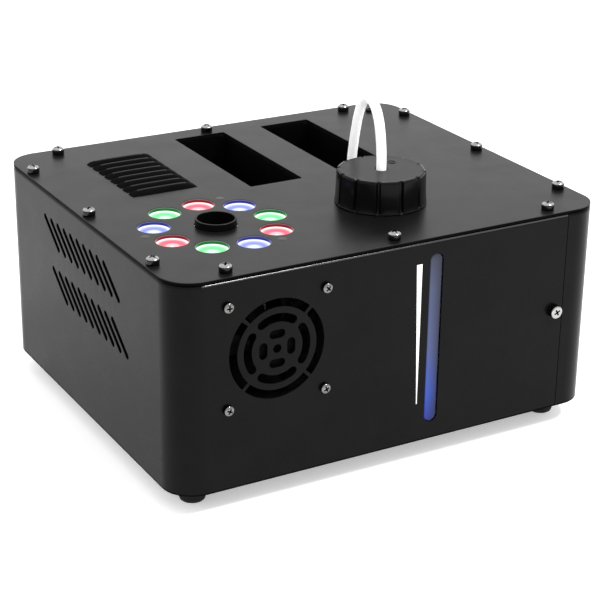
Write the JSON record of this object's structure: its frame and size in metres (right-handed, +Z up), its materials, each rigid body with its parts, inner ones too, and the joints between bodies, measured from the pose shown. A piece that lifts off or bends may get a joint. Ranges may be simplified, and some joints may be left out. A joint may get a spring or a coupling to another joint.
{
  "type": "fog machine",
  "caption": "Sheet-metal box fogger with an upward nozzle in a ring of LEDs, twin grip recesses, a screw-capped fluid tank with a hose loop, a lit level slot and a rear control panel.",
  "frame": {"origin": "on the floor under the middle of the housing, level with the bottoms of the feet", "axes": "+X to the right along the front face, +Y from the front face to the back, +Z up, the way the nozzle sprays"},
  "size_m": [0.332, 0.2982, 0.2348],
  "materials": {
    "powder_coat": "fine textured satin powder coat",
    "black_plastic": "moulded black plastic, fine grain",
    "cap_plastic": "satin moulded polypropylene",
    "rubber": "matt black rubber",
    "nickel": "bright nickel-plated steel",
    "aluminium": "as cast and turned",
    "tank_plastic": "translucent natural polyethylene",
    "hose_silicone": "translucent white soft tube",
    "circuit_board": "green solder resist",
    "lens_green": "clear moulded lens over a lit green LED",
    "lens_blue": "clear moulded lens over a lit blue LED",
    "lens_red": "clear moulded lens over a lit red LED",
    "level_diffuser": "translucent strip lit blue from behind"
  },
  "bodies": {
    "housing": {"main_shell": "powder_coat", "side_cover": "powder_coat", "top_plate": "powder_coat", "base_plate": "powder_coat", "nozzle_tube": "powder_coat", "grip_pocket_left": "black_plastic", "grip_pocket_right": "black_plastic", "fan_frame": "black_plastic", "control_panel": "black_plastic", "mains_inlet": "black_plastic", "dmx_in": "black_plastic", "dmx_out": "black_plastic", "foot_front_left": "rubber", "foot_front_right": "rubber", "foot_back_left": "rubber", "foot_back_right": "rubber", "hose_grommet": "rubber", "top_screw_1": "nickel", "top_screw_2": "nickel", "top_screw_3": "nickel", "top_screw_4": "nickel", "top_screw_5": "nickel", "top_screw_6": "nickel", "top_screw_7": "nickel", "top_screw_8": "nickel", "top_screw_9": "nickel", "top_screw_10": "nickel", "top_screw_11": "nickel", "top_screw_12": "nickel", "thumb_screw_front": "nickel", "thumb_screw_back": "nickel", "heater_block": "aluminium", "pump": "aluminium", "feed_pipe": "aluminium", "fluid_tank": "tank_plastic", "pickup_tube": "tank_plastic", "suction_hose": "hose_silicone", "pump_inlet_hose": "hose_silicone", "led_board": "circuit_board", "level_backlight": "circuit_board", "main_board": "circuit_board", "led_lens_1": "lens_green", "led_lens_2": "lens_blue", "led_lens_3": "lens_red", "led_lens_4": "lens_green", "led_lens_5": "lens_blue", "led_lens_6": "lens_red", "led_lens_7": "lens_green", "led_lens_8": "lens_blue", "led_lens_9": "lens_red", "level_window": "level_diffuser"},
    "fan_rotor": {"fan_rotor": "black_plastic"},
    "cap_seal": {"cap_seal": "rubber"},
    "tank_cap": {"tank_cap": "cap_plastic"},
    "rocker_switch": {"rocker_switch": "black_plastic"},
    "fuse_drawer": {"fuse_drawer": "black_plastic"},
    "menu_button_1": {"menu_button_1": "black_plastic"},
    "menu_button_2": {"menu_button_2": "black_plastic"},
    "menu_button_3": {"menu_button_3": "black_plastic"},
    "menu_button_4": {"menu_button_4": "black_plastic"}
  },
  "joints": [
    {"name": "fan_spin", "type": "hinge", "parent": "housing", "child": "fan_rotor", "pos_m": [-0.093, -0.13, 0.1087], "axis": [0, 1, 0], "continuous": true},
    {"name": "cap_rise", "type": "slide", "parent": "housing", "child": "cap_seal", "axis": [0, 0, 1], "range_m": [0, 0.009]},
    {"name": "cap_turn", "type": "hinge", "parent": "cap_seal", "child": "tank_cap", "pos_m": [0.031, -0.0668, 0.18], "axis": [0, 0, 1], "range_deg": [0, 540]},
    {"name": "power_rocker", "type": "hinge", "parent": "housing", "child": "rocker_switch", "pos_m": [0.088, 0.1425, 0.08], "axis": [1, 0, 0], "range_deg": [0, 20]},
    {"name": "fuse_drawer_slide", "type": "slide", "parent": "housing", "child": "fuse_drawer", "axis": [0, 1, 0], "range_m": [0, 0.018]},
    {"name": "menu_button_1_press", "type": "slide", "parent": "housing", "child": "menu_button_1", "axis": [0, -1, 0], "range_m": [0, 0.001], "stiffness_N_per_m": 800, "springref_m": -0.0005},
    {"name": "menu_button_2_press", "type": "slide", "parent": "housing", "child": "menu_button_2", "axis": [0, -1, 0], "range_m": [0, 0.001], "stiffness_N_per_m": 800, "springref_m": -0.0005},
    {"name": "menu_button_3_press", "type": "slide", "parent": "housing", "child": "menu_button_3", "axis": [0, -1, 0], "range_m": [0, 0.001], "stiffness_N_per_m": 800, "springref_m": -0.0005},
    {"name": "menu_button_4_press", "type": "slide", "parent": "housing", "child": "menu_button_4", "axis": [0, -1, 0], "range_m": [0, 0.001], "stiffness_N_per_m": 800, "springref_m": -0.0005}
  ],
  "couplings": [
    {"joint": "cap_turn", "follows": "cap_rise", "rad_per_m": 1047.2}
  ]
}
